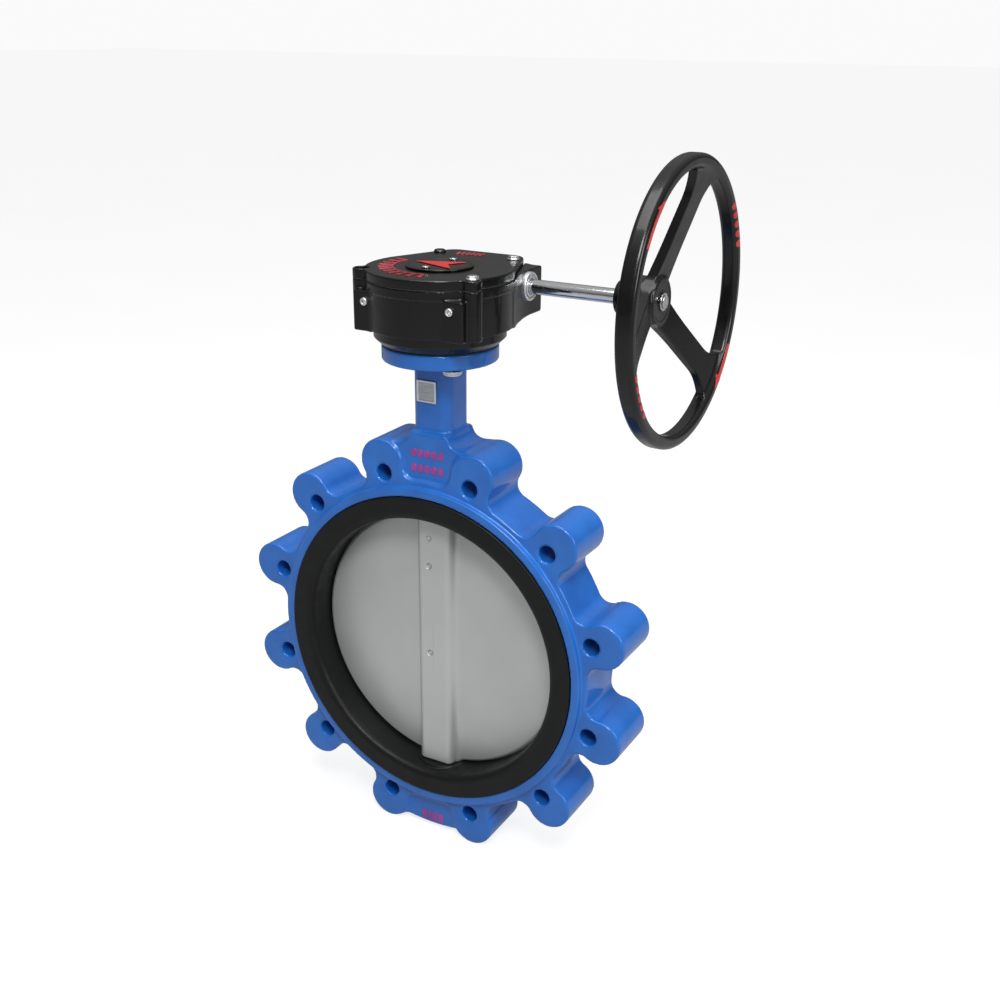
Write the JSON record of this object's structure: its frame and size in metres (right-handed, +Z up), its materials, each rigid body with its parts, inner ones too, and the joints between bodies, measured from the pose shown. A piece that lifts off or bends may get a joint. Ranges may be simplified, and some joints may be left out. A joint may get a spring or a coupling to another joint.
{
  "type": "butterfly valve",
  "caption": "Lug-type rubber-lined butterfly valve with a worm gearbox, a position indicator and a spoked handwheel on a side shaft.",
  "frame": {"origin": "centre of the bore, where the pipe axis meets the stem axis", "axes": "+Z up along the stem to the gearbox, +Y along the pipe away from the front face, +X towards the handwheel"},
  "size_m": [0.4723, 0.2786, 0.7557],
  "materials": {
    "blue_epoxy": "semi-gloss blue epoxy coating on ductile iron",
    "black_paint": "semi-gloss black paint on cast iron",
    "epdm_rubber": "matt moulded rubber",
    "disc_metal": "satin metal disc",
    "steel": "machined or zinc-plated steel",
    "chrome_steel": "bright plated steel",
    "bronze": "plain bearing bronze",
    "gear_iron": "machined ductile iron",
    "gasket_fibre": "thin compressed fibre",
    "red_enamel": "red enamel on plate",
    "plate_aluminium": "satin aluminium plate"
  },
  "bodies": {
    "valve": {"valve_body": "blue_epoxy", "gearbox_housing": "black_paint", "gearbox_cover": "black_paint", "seat_liner": "epdm_rubber", "shaft_seal": "epdm_rubber", "hub_seal": "epdm_rubber", "cover_bolt_1": "steel", "cover_bolt_2": "steel", "cover_bolt_3": "black_paint", "cover_bolt_4": "black_paint", "mount_bolt_1": "steel", "mount_bolt_2": "steel", "stop_screw_1": "steel", "stop_screw_2": "steel", "worm_end_cap": "steel", "shaft_collar": "chrome_steel", "upper_bush": "bronze", "middle_bush": "bronze", "lower_bush": "bronze", "thrust_washer_1": "bronze", "thrust_washer_2": "bronze", "shaft_bush_1": "bronze", "shaft_bush_2": "bronze", "gearbox_gasket": "gasket_fibre", "cover_gasket": "gasket_fibre", "nameplate": "plate_aluminium"},
    "disc": {"disc": "disc_metal", "stem": "steel", "disc_pin_1": "steel", "disc_pin_2": "steel", "disc_pin_3": "steel", "stem_oring_1": "epdm_rubber", "stem_oring_2": "epdm_rubber", "stem_retaining_ring": "steel", "stem_key": "steel", "worm_wheel": "gear_iron", "indicator_disc": "black_paint", "pointer_arrow": "red_enamel", "indicator_screw_1": "steel", "indicator_screw_2": "steel"},
    "drive": {"input_shaft": "chrome_steel", "worm": "steel", "worm_pin": "steel", "handwheel": "black_paint", "handwheel_key": "steel", "handwheel_washer": "steel", "handwheel_screw": "chrome_steel"}
  },
  "joints": [
    {"name": "disc_turn", "type": "hinge", "parent": "valve", "child": "disc", "pos_m": [0, 0, 0], "axis": [0, 0, -1], "range_deg": [0, 90]},
    {"name": "handwheel_turn", "type": "hinge", "parent": "valve", "child": "drive", "pos_m": [0.1, 0.06, 0.3863], "axis": [1, 0, 0], "range_deg": [0, 3600]}
  ],
  "couplings": [
    {"joint": "handwheel_turn", "follows": "disc_turn", "ratio": 40}
  ]
}
